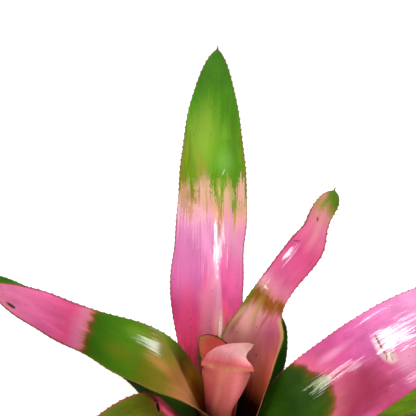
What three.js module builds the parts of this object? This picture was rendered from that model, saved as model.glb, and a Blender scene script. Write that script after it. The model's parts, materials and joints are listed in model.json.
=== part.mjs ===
// Cotton candy bromeliad: a rosette of spiny strap leaves round a short stem. The plant is lifted from the
// ground with its roots trimmed off, and stands on the cut face of its stem and on its lowest leaves.
// Millimetres, +Z up. The origin is the centre of the cut face. +X is to the right and +Y to the back.
import * as THREE from "three";

// Leaves grow in a spiral. Each older leaf is rooted further out and lower on the cone of the stem.
const FIRST_ROOT_RADIUS = 5;
const ROOT_RADIUS_STEP = 1.8;
const FIRST_ROOT_HEIGHT = 44;
const ROOT_HEIGHT_STEP = 2.4;

// The stem is a cone that stays clear of the leaf roots and narrows again to its cut face.
const STEM_CLEARANCE = 1.1;
const STEM_CUT_RADIUS = 24;
const STEM_TIP_HEIGHT = 3;

// A blade is thickest along its middle, and thinner towards its tip and its margins.
const THICKNESS_AT_ROOT = 1.3;
const THICKNESS_AT_TIP = 0.85;
const MARGIN_THICKNESS = 0.6;
const CREASE_HALF_WIDTH = 3;

// Every leaf ends in a small point, and its margins carry spines that lean towards the tip.
const POINT_LENGTH = 4;
const POINT_HALF_WIDTH = 0.8;
const TIP_BLUNTNESS = 0.75;
const SPINE_LENGTH = 1.4;
const SPINE_BASE = 2.2;
const SPINE_LEAN = 0.8;
const BARE_MARGIN = 60;

// How finely a leaf is divided: the step along it, which shrinks near its tip, and the columns across it.
const STEP = 15;
const TIP_REACH = 55;
const TIP_STEP_SHARE = 0.35;
const COLUMNS = 8;

// Each leaf, from the youngest in the heart to the oldest at the bottom. Azimuth is counted from +X
// towards +Y. Lengths are measured along the leaf from its root, in millimetres, and angles are in degrees.
// rise is the angle of the midrib above the horizontal, lean its swing to the right, twist its roll, shape the
// share of the full width, and fold how far each half is creased up, all as pairs of a distance and a value.
// creaseAt is how far the crease lies to the right of the midrib. The leaf wraps the heart up to the first
// distance of opens, and is a trough of the radius channel, one value or pairs again, from the second.
const LEAVES = [
  {
    name: "leaf_01",
    color: 0xe0806f,
    azimuth: 105,
    length: 112,
    width: 32,
    taper: 14,
    opens: [45, 90],
    channel: 30,
    shape: [[0, 0.4], [30, 0.6], [60, 0.9], [80, 0.96], [112, 1]],
    rise: [[0, 88], [50, 84], [85, 84], [112, 82]],
    lean: [[0, 0], [50, 0], [85, -23], [112, -52]],
  },
  {
    name: "leaf_02",
    color: 0xe2807c,
    azimuth: 268,
    length: 137,
    width: 56,
    taper: 9,
    opens: [60, 120],
    channel: [[0, 26], [88, 24], [98, 28], [110, 150], [137, 150]],
    shape: [[0, 0.2], [25, 0.24], [55, 0.37], [75, 0.6], [94, 0.78], [106, 0.68], [118, 0.47], [137, 0.2]],
    rise: [[0, 84], [25, 77], [55, 77], [80, 85], [94, 92], [108, 160], [118, 178], [129, 174], [137, 120]],
    lean: [[0, 0], [20, 7], [45, 7], [64, -12], [80, -8], [94, -5], [106, -12], [124, -60], [137, -70]],
  },
  {
    name: "leaf_03",
    color: 0xe2688f,
    azimuth: 36.5,
    length: 238,
    width: 48,
    taper: 9,
    opens: [60, 120],
    channel: 40,
    shape: [
      [0, 0.5], [30, 0.85], [60, 0.95], [95, 1.22], [120, 0.72],
      [150, 0.57], [184, 0.6], [204, 0.38], [238, 0.52],
    ],
    rise: [[0, 72], [30, 66], [55, 77], [85, 88], [108, 62], [135, 47], [184, 53], [210, 54], [238, 54]],
    lean: [[0, 0], [60, -1], [110, -18], [150, 6], [184, 7], [204, -13], [220, 8], [238, -22]],
    twist: [[0, 0], [60, 0], [95, 20], [120, 45], [150, 53], [238, 50]],
  },
  {
    name: "leaf_04",
    color: 0xcf7a8a,
    azimuth: 182,
    length: 252,
    width: 52,
    taper: 30,
    opens: [40, 110],
    channel: 60,
    shape: [[0, 0.5], [30, 0.8], [60, 0.95], [120, 1.03], [165, 0.85], [200, 0.86], [252, 0.86]],
    rise: [[0, 80], [35, 76], [70, 57], [110, 33], [150, 29], [252, 35]],
    twist: [[0, 0], [60, 0], [110, -26], [170, -22], [252, -14]],
  },
  {
    name: "leaf_05",
    color: 0xe65c97,
    azimuth: 350,
    length: 285,
    width: 72,
    taper: 46,
    opens: [30, 80],
    channel: 130,
    shape: [[0, 0.3], [20, 0.45], [50, 0.8], [80, 0.95], [120, 1], [285, 1]],
    rise: [[0, 70], [25, 52], [60, 42], [100, 46], [150, 45], [200, 37], [285, 24]],
    twist: [[0, 0], [25, 5], [80, 55], [285, 60]],
  },
  {
    name: "leaf_06",
    color: 0xdd6aa2,
    azimuth: 95,
    length: 338,
    width: 56,
    taper: 54,
    opens: [50, 120],
    channel: 90,
    creaseAt: 6,
    shape: [[0, 0.4], [40, 0.75], [80, 0.87], [130, 1.12], [180, 1.06], [230, 1.06], [338, 0.95]],
    rise: [[0, 66], [50, 57], [90, 73], [150, 83], [338, 83.5]],
    lean: [[0, 0], [40, -10], [100, 3.5], [200, -0.5], [260, 1], [338, 6.2]],
    twist: [[0, 0], [60, 0], [100, -12], [140, -26], [180, -22], [230, -4], [338, -4]],
    fold: [[0, 0], [70, 6], [100, 12], [140, 20], [170, 20], [230, 8], [338, 4]],
  },
  {
    name: "leaf_07",
    color: 0x8f9440,
    azimuth: 222,
    length: 230,
    width: 52,
    taper: 32,
    opens: [40, 90],
    channel: 60,
    shape: [[0, 0.5], [40, 0.9], [80, 1], [230, 1]],
    rise: [[0, 70], [40, 66], [75, 48], [105, 12], [140, -12], [230, -30]],
    twist: [[0, 0], [60, 0], [110, -10], [230, 0]],
  },
  {
    name: "leaf_08",
    color: 0x55802f,
    azimuth: 14,
    length: 240,
    width: 54,
    taper: 34,
    opens: [40, 90],
    channel: 70,
    shape: [[0, 0.5], [25, 0.47], [50, 0.7], [80, 0.95], [240, 1]],
    rise: [[0, 60], [25, 37], [60, 12], [110, 4], [240, -14]],
  },
  {
    name: "leaf_09",
    color: 0x55802f,
    azimuth: 160,
    length: 256,
    width: 48,
    taper: 34,
    opens: [40, 90],
    channel: 60,
    shape: [[0, 0.5], [40, 0.9], [80, 0.9], [120, 0.8], [256, 0.84]],
    rise: [[0, 68], [40, 57], [80, 43], [130, 26], [256, 20]],
  },
  {
    name: "leaf_10",
    color: 0x55802f,
    azimuth: 287,
    length: 220,
    width: 54,
    taper: 32,
    opens: [35, 80],
    channel: 60,
    shape: [[0, 0.5], [40, 0.9], [80, 1], [220, 1]],
    rise: [[0, 64], [30, 44], [65, 14], [105, -10], [160, -24], [220, -28]],
  },
  {
    name: "leaf_11",
    color: 0x55802f,
    azimuth: 60,
    length: 127,
    width: 44,
    taper: 20,
    opens: [35, 90],
    channel: 50,
    shape: [[0, 0.4], [25, 0.6], [60, 0.88], [80, 1], [127, 1]],
    rise: [[0, 67], [40, 60], [80, 54], [127, 54]],
  },
  {
    name: "leaf_12",
    color: 0x55802f,
    azimuth: 200,
    length: 210,
    width: 56,
    taper: 32,
    opens: [30, 70],
    channel: 60,
    shape: [[0, 0.5], [40, 0.9], [80, 1], [210, 1]],
    rise: [[0, 60], [30, 38], [60, 10], [100, -14], [150, -28], [210, -30]],
  },
  {
    name: "leaf_13",
    color: 0x55802f,
    azimuth: 335,
    length: 225,
    width: 56,
    taper: 34,
    opens: [30, 70],
    channel: 60,
    shape: [[0, 0.5], [40, 0.9], [80, 1], [225, 1]],
    rise: [[0, 62], [30, 40], [60, 14], [110, -6], [165, -20], [225, -28]],
  },
  {
    name: "leaf_14",
    color: 0x55802f,
    azimuth: 117,
    length: 210,
    width: 56,
    taper: 32,
    opens: [30, 70],
    channel: 60,
    shape: [[0, 0.5], [40, 0.9], [80, 1], [210, 1]],
    rise: [[0, 56], [25, 32], [55, 8], [100, -11], [150, -22], [210, -22]],
  },
  {
    name: "leaf_15",
    color: 0x55802f,
    azimuth: 255,
    length: 205,
    width: 56,
    taper: 32,
    opens: [25, 60],
    channel: 60,
    shape: [[0, 0.5], [40, 0.9], [80, 1], [205, 1]],
    rise: [[0, 64], [25, 40], [55, 8], [95, -13], [150, -22], [205, -21]],
  },
  {
    name: "leaf_16",
    color: 0x55802f,
    azimuth: 32,
    length: 205,
    width: 54,
    taper: 32,
    opens: [25, 60],
    channel: 60,
    shape: [[0, 0.5], [40, 0.9], [80, 1], [205, 1]],
    rise: [[0, 60], [25, 34], [55, 2], [95, -12], [150, -18], [205, -14]],
  },
  {
    name: "leaf_17",
    color: 0x55802f,
    azimuth: 170,
    length: 195,
    width: 54,
    taper: 32,
    opens: [25, 60],
    channel: 60,
    shape: [[0, 0.5], [40, 0.9], [80, 1], [195, 1]],
    rise: [[0, 60], [25, 34], [55, 2], [95, -11], [150, -18], [195, -15]],
  },
];

// A smooth curve through pairs of a position and a value.
function smooth(pairs) {
  const slope = (k) => {
    const a = pairs[Math.max(0, k - 1)];
    const b = pairs[Math.min(pairs.length - 1, k + 1)];
    return (b[1] - a[1]) / (b[0] - a[0]);
  };
  return (x) => {
    let k = 0;
    while (k < pairs.length - 2 && x > pairs[k + 1][0]) k += 1;
    const [[x0, y0], [x1, y1]] = [pairs[k], pairs[k + 1]];
    const h = x1 - x0;
    const f = THREE.MathUtils.clamp((x - x0) / h, 0, 1);
    const f2 = f * f;
    const f3 = f2 * f;
    return (
      (2 * f3 - 3 * f2 + 1) * y0 +
      (f3 - 2 * f2 + f) * h * slope(k) +
      (3 * f2 - 2 * f3) * y1 +
      (f3 - f2) * h * slope(k + 1)
    );
  };
}

// The line of the midrib with its frame, walked in steps of a millimetre from the root.
function midrib(leaf, order) {
  const even = (value) => [[0, value], [leaf.length, value]];
  const rise = smooth(leaf.rise);
  const lean = smooth(leaf.lean || even(0));
  const twist = smooth(leaf.twist || even(0));
  const fold = smooth(leaf.fold || even(0));
  const channel = smooth(Array.isArray(leaf.channel) ? leaf.channel : even(leaf.channel));
  const azimuth = THREE.MathUtils.degToRad(leaf.azimuth);
  const radius = FIRST_ROOT_RADIUS + ROOT_RADIUS_STEP * order;
  const at = new THREE.Vector3(radius * Math.cos(azimuth), radius * Math.sin(azimuth), 0);
  at.z = FIRST_ROOT_HEIGHT - ROOT_HEIGHT_STEP * order;
  const frames = [];
  for (let s = 0; s <= leaf.length; s += 1) {
    const up = THREE.MathUtils.degToRad(rise(s));
    const tangent = new THREE.Vector3(
      Math.cos(up) * Math.cos(azimuth),
      Math.cos(up) * Math.sin(azimuth),
      Math.sin(up),
    );
    const side = new THREE.Vector3(Math.sin(azimuth), -Math.cos(azimuth), 0);
    const upper = new THREE.Vector3().crossVectors(side, tangent);
    tangent.applyAxisAngle(upper, -THREE.MathUtils.degToRad(lean(s)));
    side.crossVectors(tangent, upper).applyAxisAngle(tangent, THREE.MathUtils.degToRad(twist(s)));
    upper.crossVectors(side, tangent);
    const wrapped = 1 - THREE.MathUtils.smoothstep(s, leaf.opens[0], leaf.opens[1]);
    const wrap = (wrapped * Math.sin(up)) / Math.hypot(at.x, at.y);
    const bend = Math.cbrt(wrap ** 3 + (1 / channel(s)) ** 3);
    const crease = Math.tan(THREE.MathUtils.degToRad(fold(s)));
    frames.push({ at: at.clone(), tangent, side, upper, bend, crease });
    at.addScaledVector(tangent, 1);
  }
  return frames;
}

// The frame of the midrib at any distance from the root.
function frameAt(frames, s) {
  const k = Math.min(frames.length - 2, Math.floor(s));
  const f = Math.min(1, s - k);
  const [a, b] = [frames[k], frames[k + 1]];
  const mix = (name) => a[name].clone().lerp(b[name], f);
  return {
    at: mix("at"),
    tangent: mix("tangent").normalize(),
    side: mix("side").normalize(),
    upper: mix("upper").normalize(),
    bend: THREE.MathUtils.lerp(a.bend, b.bend, f),
    crease: THREE.MathUtils.lerp(a.crease, b.crease, f),
  };
}

// Half the width of the blade at a distance from the root.
function halfWidth(leaf, s) {
  const left = leaf.length - s;
  if (left < POINT_LENGTH) return (POINT_HALF_WIDTH * left) / POINT_LENGTH;
  const full = leaf.width / 2 - POINT_HALF_WIDTH;
  const closing = (1 - Math.exp(-(left - POINT_LENGTH) / leaf.taper)) ** TIP_BLUNTNESS;
  const share = leaf.shape ? smooth(leaf.shape)(s) : 1;
  return POINT_HALF_WIDTH + full * closing * share;
}

// A point of the leaf's middle surface, with the directions out of its face and out of its margin.
function surface(leaf, frames, s, across) {
  const { at, tangent, side, upper, bend, crease } = frameAt(frames, s);
  const x = across * halfWidth(leaf, s);
  const angle = x * bend;
  const creaseAt = leaf.creaseAt || 0;
  const slant = Math.hypot(x - creaseAt, CREASE_HALF_WIDTH);
  const creaseLift = crease * (slant - Math.hypot(creaseAt, CREASE_HALF_WIDTH));
  const point = at
    .clone()
    .addScaledVector(side, Math.sin(angle) / bend)
    .addScaledVector(upper, (1 - Math.cos(angle)) / bend + creaseLift);
  const tilt = angle + Math.atan((crease * (x - creaseAt)) / slant);
  const face = side.clone().multiplyScalar(-Math.sin(tilt)).addScaledVector(upper, Math.cos(tilt));
  const out = side.clone().multiplyScalar(Math.cos(tilt)).addScaledVector(upper, Math.sin(tilt));
  const middle = THREE.MathUtils.lerp(THICKNESS_AT_ROOT, THICKNESS_AT_TIP, s / leaf.length);
  const thick = THREE.MathUtils.lerp(middle, MARGIN_THICKNESS, across ** 4);
  return { point, face, out, tangent, thick };
}

// Distances from the root, a step apart, which shrinks towards the point of the leaf.
function places(leaf, from) {
  const end = leaf.length - POINT_LENGTH;
  const list = [];
  for (let s = from; s < end; ) {
    list.push(s);
    const share = THREE.MathUtils.smoothstep(end - s, 0, TIP_REACH);
    s += STEP * THREE.MathUtils.lerp(TIP_STEP_SHARE, 1, share);
  }
  return list;
}

// One leaf as a closed blade, with spines standing out of its two margins.
function leafGeometry(leaf, order) {
  const frames = midrib(leaf, order);
  const end = leaf.length - POINT_LENGTH;
  const positions = [];
  const triangles = [];
  const add = (v) => positions.push(v.x, v.y, v.z) / 3 - 1;
  const pair = (s, across) => {
    const p = surface(leaf, frames, s, across);
    return {
      s,
      top: add(p.point.clone().addScaledVector(p.face, p.thick / 2)),
      low: add(p.point.clone().addScaledVector(p.face, -p.thick / 2)),
    };
  };

  // Columns of points across the blade. A margin has a second point past the base of each of its spines.
  const rows = [...places(leaf, 0).filter((s) => end - s > 3), end];
  const spined = new Set();
  const lines = [];
  for (let c = 0; c <= COLUMNS; c += 1) {
    const across = (2 * c) / COLUMNS - 1;
    if (Math.abs(across) < 1) {
      lines.push(rows.map((s) => pair(s, across)));
      continue;
    }
    const offset = across > 0 ? STEP / 2 : 0;
    const bare = [0, BARE_MARGIN / 3, (BARE_MARGIN * 2) / 3];
    const line = bare.map((s) => pair(s, across));
    for (const s of places(leaf, BARE_MARGIN + offset)) {
      if (end - s < SPINE_BASE * 1.5) continue;
      const base = pair(s, across);
      spined.add(base);
      line.push(base, pair(s + SPINE_BASE, across));
    }
    line.push(pair(end, across));
    lines.push(line);
  }

  // The two faces, triangulated alike, in strips between neighbouring columns.
  const both = (a, b, c) => triangles.push(a.top, b.top, c.top, a.low, c.low, b.low);
  for (let c = 0; c < COLUMNS; c += 1) {
    const [near, far] = [lines[c], lines[c + 1]];
    let [i, j] = [0, 0];
    while (i < near.length - 1 || j < far.length - 1) {
      const nextNear = i < near.length - 1 ? near[i + 1].s : Infinity;
      const nextFar = j < far.length - 1 ? far[j + 1].s : Infinity;
      if (nextNear <= nextFar) {
        both(near[i], far[j], near[i + 1]);
        i += 1;
      } else {
        both(near[i], far[j], far[j + 1]);
        j += 1;
      }
    }
  }

  // The walls of the margins, with a spine where one stands.
  const wall = (a, b, c, d) => triangles.push(a, b, c, a, c, d);
  for (const [across, line] of [[-1, lines[0]], [1, lines[COLUMNS]]]) {
    for (let k = 0; k < line.length - 1; k += 1) {
      const [a, b] = [line[k], line[k + 1]];
      const ring = across < 0 ? [a.low, a.top, b.top, b.low] : [a.top, a.low, b.low, b.top];
      if (!spined.has(a)) {
        wall(...ring);
        continue;
      }
      const base = surface(leaf, frames, a.s + SPINE_BASE / 2, across);
      const tip = base.point
        .clone()
        .addScaledVector(base.out, across * SPINE_LENGTH)
        .addScaledVector(base.tangent, SPINE_LEAN);
      const apex = add(tip);
      for (let r = 0; r < 4; r += 1) triangles.push(ring[r], ring[(r + 1) % 4], apex);
    }
  }

  // The root is a plain cut, and the last row runs out into the point of the leaf.
  const apex = add(frames[frames.length - 1].at);
  for (let c = 0; c < COLUMNS; c += 1) {
    const [a, b] = [lines[c], lines[c + 1]];
    wall(a[0].top, a[0].low, b[0].low, b[0].top);
    triangles.push(a[a.length - 1].top, b[b.length - 1].top, apex);
    triangles.push(b[b.length - 1].low, a[a.length - 1].low, apex);
  }
  const first = lines[0][lines[0].length - 1];
  const last = lines[COLUMNS][lines[COLUMNS].length - 1];
  triangles.push(first.low, first.top, apex, last.top, last.low, apex);

  const geometry = new THREE.BufferGeometry();
  geometry.setAttribute("position", new THREE.Float32BufferAttribute(positions, 3));
  geometry.setIndex(triangles);
  geometry.computeVertexNormals();
  return geometry;
}

// The stem, turned about the plant's axis. Its side runs just inside the roots of all the leaves.
function stemGeometry() {
  const lowest = LEAVES.length - 1;
  const foot = FIRST_ROOT_RADIUS + ROOT_RADIUS_STEP * lowest - STEM_CLEARANCE;
  const footHeight = FIRST_ROOT_HEIGHT - ROOT_HEIGHT_STEP * lowest;
  const crown = FIRST_ROOT_RADIUS - STEM_CLEARANCE;
  const profile = [
    [0, 0],
    [STEM_CUT_RADIUS, 0],
    [THREE.MathUtils.lerp(STEM_CUT_RADIUS, foot, 0.6), footHeight * 0.3],
    [THREE.MathUtils.lerp(STEM_CUT_RADIUS, foot, 0.9), footHeight * 0.65],
    [foot, footHeight],
    [crown, FIRST_ROOT_HEIGHT],
    [crown / 2, FIRST_ROOT_HEIGHT + STEM_TIP_HEIGHT * 0.75],
    [0, FIRST_ROOT_HEIGHT + STEM_TIP_HEIGHT],
  ];
  return new THREE.LatheGeometry(profile.map(([r, z]) => new THREE.Vector2(r, z)), 40).rotateX(Math.PI / 2);
}

const plant = new THREE.Group();

const stem = new THREE.Mesh(
  stemGeometry(),
  new THREE.MeshStandardMaterial({ color: 0x6b4a2e, roughness: 0.8, metalness: 0 }),
);
stem.name = "stem";
plant.add(stem);

LEAVES.forEach((leaf, order) => {
  const mesh = new THREE.Mesh(
    leafGeometry(leaf, order),
    new THREE.MeshStandardMaterial({ color: leaf.color, roughness: 0.35, metalness: 0 }),
  );
  mesh.name = leaf.name;
  plant.add(mesh);
});

export default plant;
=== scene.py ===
import json
import math
import random
from types import SimpleNamespace

import bmesh
import bpy
from mathutils import Matrix, Vector, noise

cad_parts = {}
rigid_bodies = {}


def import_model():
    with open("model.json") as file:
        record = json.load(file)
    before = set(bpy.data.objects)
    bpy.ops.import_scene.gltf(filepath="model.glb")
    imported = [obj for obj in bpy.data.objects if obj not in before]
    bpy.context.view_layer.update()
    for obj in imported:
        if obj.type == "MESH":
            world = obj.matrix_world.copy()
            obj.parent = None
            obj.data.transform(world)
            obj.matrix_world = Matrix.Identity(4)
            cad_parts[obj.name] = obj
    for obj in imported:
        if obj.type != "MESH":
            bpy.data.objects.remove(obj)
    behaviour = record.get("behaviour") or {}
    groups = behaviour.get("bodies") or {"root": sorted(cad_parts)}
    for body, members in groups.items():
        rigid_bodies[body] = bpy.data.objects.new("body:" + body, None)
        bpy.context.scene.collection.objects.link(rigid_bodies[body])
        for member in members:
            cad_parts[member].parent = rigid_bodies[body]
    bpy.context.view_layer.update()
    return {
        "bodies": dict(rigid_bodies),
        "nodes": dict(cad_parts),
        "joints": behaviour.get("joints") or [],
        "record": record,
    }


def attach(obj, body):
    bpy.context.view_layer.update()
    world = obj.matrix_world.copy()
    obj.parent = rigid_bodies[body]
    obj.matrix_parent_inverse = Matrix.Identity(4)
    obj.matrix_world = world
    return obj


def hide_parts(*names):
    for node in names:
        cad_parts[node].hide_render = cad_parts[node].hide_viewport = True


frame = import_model()


# The stem. A short woody cone, ringed by the scars of the leaves it has shed, that carries all the leaves.
# It was sawn level below the lowest leaves, and the roots round its foot were trimmed to stubs.
MM = 0.001
STEM_OUTLINE = [(24.0, 0.0), (29.2, 1.7), (31.6, 3.6), (32.4, 5.6), (3.9, 44.0), (2.0, 46.2), (0.0, 47.0)]
OUTLINE_STEP = 0.6
STEM_TURNS = 72
SCAR_SPACING = 2.4
SCAR_DEPTH = 0.3
SCARS_FROM = 5
SCARS_TO = 44
CUT_FACE_RIM = 0.1
FIBRE_HEIGHT = 0.35
FIBRE_DEPTH_SHARE = 0.6
FIBRES_ROUND = 9
FIBRES_PER_METRE = 120
ROOT_STUBS = 34
STUB_SPREAD = 0.3
STUB_RADII = (0.6, 1.3)
STUB_LENGTHS = (4.0, 7.0)
STUB_HEIGHTS = (1.6, 3.4)
STUB_TILTS = (82, 100)
STUB_FLARE = 1.3
STUB_FROM_AXIS = 28.5
RIND_RADIUS = 25.0


def add_object(name, mesh, material):
    """Turns a finished bmesh into an object of one material."""
    data = bpy.data.meshes.new(name)
    mesh.to_mesh(data)
    mesh.free()
    data.materials.append(material)
    made = bpy.data.objects.new(name, data)
    bpy.context.collection.objects.link(made)
    return made


def make_piece(name, mesh, skin, slot, *nodes):
    """Puts a finished bmesh into the scene as a piece that rides on the plant in place of its CAD nodes."""
    piece = add_object(name, mesh, skin)
    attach(piece, "root")
    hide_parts(*nodes)


def shade_smooth(mesh, sharpest=40):
    """Shades a mesh smooth, but keeps its edges sharp where they turn by more degrees than that."""
    for face in mesh.faces:
        face.smooth = True
    for edge in mesh.edges:
        edge.smooth = edge.calc_face_angle(0.0) < math.radians(sharpest)


def stem_mesh():
    mesh = bmesh.new()
    steps = []
    for (r0, z0), (r1, z1) in zip(STEM_OUTLINE, STEM_OUTLINE[1:]):
        count = max(1, round(math.hypot(r1 - r0, z1 - z0) / OUTLINE_STEP))
        steps += [(r0 + (r1 - r0) * k / count, z0 + (z1 - z0) * k / count) for k in range(count)]
    outline = [mesh.verts.new((0, 0, 0))]
    for radius, height in steps:
        scarred = SCARS_FROM < height < SCARS_TO
        scar = SCAR_DEPTH * abs(math.sin(math.pi * height / SCAR_SPACING)) if scarred else 0
        outline.append(mesh.verts.new((max(0, radius - scar) * MM, 0, height * MM)))
    outline.append(mesh.verts.new((0, 0, STEM_OUTLINE[-1][1] * MM)))
    edges = [mesh.edges.new(pair) for pair in zip(outline, outline[1:])]
    bmesh.ops.spin(mesh, geom=outline + edges, axis=(0, 0, 1), cent=(0, 0, 0), angle=math.tau,
                   steps=STEM_TURNS, use_merge=True)
    bmesh.ops.remove_doubles(mesh, verts=mesh.verts, dist=0.01 * MM)
    # The fibres stand in low relief all over but on the cut face.
    for vert in mesh.verts:
        if vert.co.z > CUT_FACE_RIM * MM:
            out = vert.co.xy.normalized()
            place = (out.x * FIBRES_ROUND, out.y * FIBRES_ROUND, vert.co.z * FIBRES_PER_METRE)
            fibre = noise.noise(Vector(place))
            vert.co.x += out.x * FIBRE_HEIGHT * MM * (fibre - FIBRE_DEPTH_SHARE)
            vert.co.y += out.y * FIBRE_HEIGHT * MM * (fibre - FIBRE_DEPTH_SHARE)
    stubs = random.Random(7)
    for k in range(ROOT_STUBS):
        turn = math.tau * (k + stubs.uniform(-STUB_SPREAD, STUB_SPREAD)) / ROOT_STUBS
        radius = stubs.uniform(*STUB_RADII)
        length = stubs.uniform(*STUB_LENGTHS)
        height = stubs.uniform(*STUB_HEIGHTS)
        place = (
            Matrix.Rotation(turn, 4, "Z")
            @ Matrix.Translation((STUB_FROM_AXIS * MM, 0, height * MM))
            @ Matrix.Rotation(math.radians(stubs.uniform(*STUB_TILTS)), 4, "Y")
        )
        bmesh.ops.create_cone(mesh, cap_ends=True, segments=8, radius1=radius * STUB_FLARE * MM,
                              radius2=radius * MM, depth=length * MM, matrix=place)
    bmesh.ops.recalc_face_normals(mesh, faces=mesh.faces)
    shade_smooth(mesh)
    return mesh


def colour(hex_code, strength=1.0):
    """Turns an sRGB hex colour to linear."""
    levels = [int(hex_code[k : k + 2], 16) / 255 for k in (1, 3, 5)]
    linear = [x / 12.92 if x <= 0.04045 else ((x + 0.055) / 1.055) ** 2.4 for x in levels]
    return (*(strength * x for x in linear), 1.0)


def add(tree, kind, inputs=None, output=0, **settings):
    """Adds a node with its settings, sets or links its inputs, and gives back one of its outputs."""
    made = tree.nodes.new("ShaderNode" + kind)
    for name, value in settings.items():
        setattr(made, name, value)
    for key, value in (inputs or {}).items():
        if isinstance(value, bpy.types.NodeSocket):
            tree.links.new(value, made.inputs[key])
        else:
            made.inputs[key].default_value = value
    return made.outputs[output]


def stem_wood():
    # Dry fibrous stem tissue, matte. The sawn face shows a pale pith dotted with bundles, inside a
    # brown rind.
    wood = bpy.data.materials.new("fibrous stem")
    wood.use_nodes = True
    tree = wood.node_tree
    shader = tree.nodes["Principled BSDF"]
    place = add(tree, "TexCoord", output="Object")
    # Fibres run down the stem, about a millimetre apart.
    stretched = add(tree, "Mapping", {"Vector": place, "Scale": (1, 1, 0.12)})
    fibre = add(tree, "TexNoise", {"Vector": stretched, "Scale": 900.0, "Detail": 4.0})
    bark = add(tree, "ValToRGB", {0: fibre})
    furrow, ridge = bark.node.color_ramp.elements
    furrow.position = 0.35
    furrow.color = colour("#33210f")
    ridge.position = 0.68
    ridge.color = colour("#8d6b45")
    # The pith darkens outwards to the rind, and its bundles lie a millimetre and a half apart.
    flat = add(tree, "VectorMath", {0: place, 1: (1, 1, 0)}, operation="MULTIPLY")
    from_axis = add(tree, "VectorMath", {0: flat}, output="Value", operation="LENGTH")
    outward = add(tree, "Math", {0: from_axis, 1: 1 / (RIND_RADIUS * MM)}, operation="MULTIPLY")
    rings = add(tree, "ValToRGB", {0: outward})
    stops = rings.node.color_ramp.elements
    stops[0].color = colour("#e0cfa4")
    stops[1].color = colour("#6a4526")
    stops.new(0.62).color = colour("#cfb684")
    stops.new(0.8).color = colour("#9c7747")
    bundles = add(tree, "TexVoronoi", {"Vector": flat, "Scale": 700.0}, output="Distance")
    dots = add(tree, "MapRange", {0: bundles, 1: 0.12, 2: 0.3, 3: 0.62, 4: 1.0})
    pith = {0: 1.0, 6: rings, 7: dots}
    cut = add(tree, "Mix", pith, output=2, data_type="RGBA", blend_type="MULTIPLY")
    height = add(tree, "SeparateXYZ", {0: place}, output="Z")
    on_cut = add(tree, "Math", {0: height, 1: 0.05 * MM}, operation="LESS_THAN")
    skin = add(tree, "Mix", {0: on_cut, 6: bark, 7: cut}, output=2, data_type="RGBA")
    tree.links.new(skin, shader.inputs["Base Color"])
    shader.inputs["Roughness"].default_value = 0.85
    bump = add(tree, "Bump", {"Strength": 0.8, "Distance": 0.4 * MM, "Height": fibre})
    tree.links.new(bump, shader.inputs["Normal"])
    return wood


make_piece("cut_stem", stem_mesh(), stem_wood(), "stem", "stem")


# The upright leaf. One fleshy waxy strap, pink below and green above with ragged streaks between, thin at
# its margins, which carry small brown spines. It grew as one blade, creased off its middle, to a blunt point.
FIRST_ROOT_RADIUS = 5.0
ROOT_RADIUS_STEP = 1.8
FIRST_ROOT_HEIGHT = 44.0
ROOT_HEIGHT_STEP = 2.4
THICKNESS_AT_ROOT = 1.3
THICKNESS_AT_TIP = 0.85
MARGIN_THICKNESS = 0.6
CREASE_HALF_WIDTH = 3.0
POINT_LENGTH = 4.0
POINT_HALF_WIDTH = 0.8
TIP_BLUNTNESS = 0.75
COLUMNS = 26
BARE_MARGIN = 60.0
BARE_ROWS = 15

# Each spine stands on one of the four rows of its pair, one on either margin, and none on the last rows.
ROWS_PER_PAIR = 4
LAST_BARE_ROWS = 5
LAST_BARE_STRETCH = 3
SPINE_SPACING = 5.2
SPINE_BASE = 1.5
WIDEST_BASE_SHARE = 0.4
SPINE_LENGTH = 0.95
SPINE_LEAN = 0.35
SPINE_TIP_SHARES = (0.12, 0.25)
SPINE_UNEVENNESS = (0.8, 1.2)
CROWDED_TIP = 50
CROWDING = 0.4

# The open part of a blade ripples along its margins and has faint dents.
RIPPLE_HEIGHT = 0.5
RIPPLE_LENGTH = 7
RIPPLE_SLANT = 1.5
DENT_DEPTH = 0.5
DENT_WIDTH = 16
DENT_LENGTH = 22
STILL_PART = (50, 110)
STILL_TIP = 25


def smooth(pairs, x):
    """A smooth curve through pairs of a position and a value."""
    last = len(pairs) - 1
    k = 0
    while k < last - 1 and x > pairs[k + 1][0]:
        k += 1

    def slope(j):
        (xa, ya), (xb, yb) = pairs[max(0, j - 1)], pairs[min(last, j + 1)]
        return (yb - ya) / (xb - xa)

    (x0, y0), (x1, y1) = pairs[k], pairs[k + 1]
    h = x1 - x0
    f = min(1.0, max(0.0, (x - x0) / h))
    f2, f3 = f * f, f * f * f
    ends = (2 * f3 - 3 * f2 + 1) * y0 + (3 * f2 - 2 * f3) * y1
    return ends + (f3 - 2 * f2 + f) * h * slope(k) + (f3 - f2) * h * slope(k + 1)


def ease(x, low, high):
    """Rises gently from 0 to 1 between two limits."""
    f = min(1.0, max(0.0, (x - low) / (high - low)))
    return f * f * (3 - 2 * f)


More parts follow.
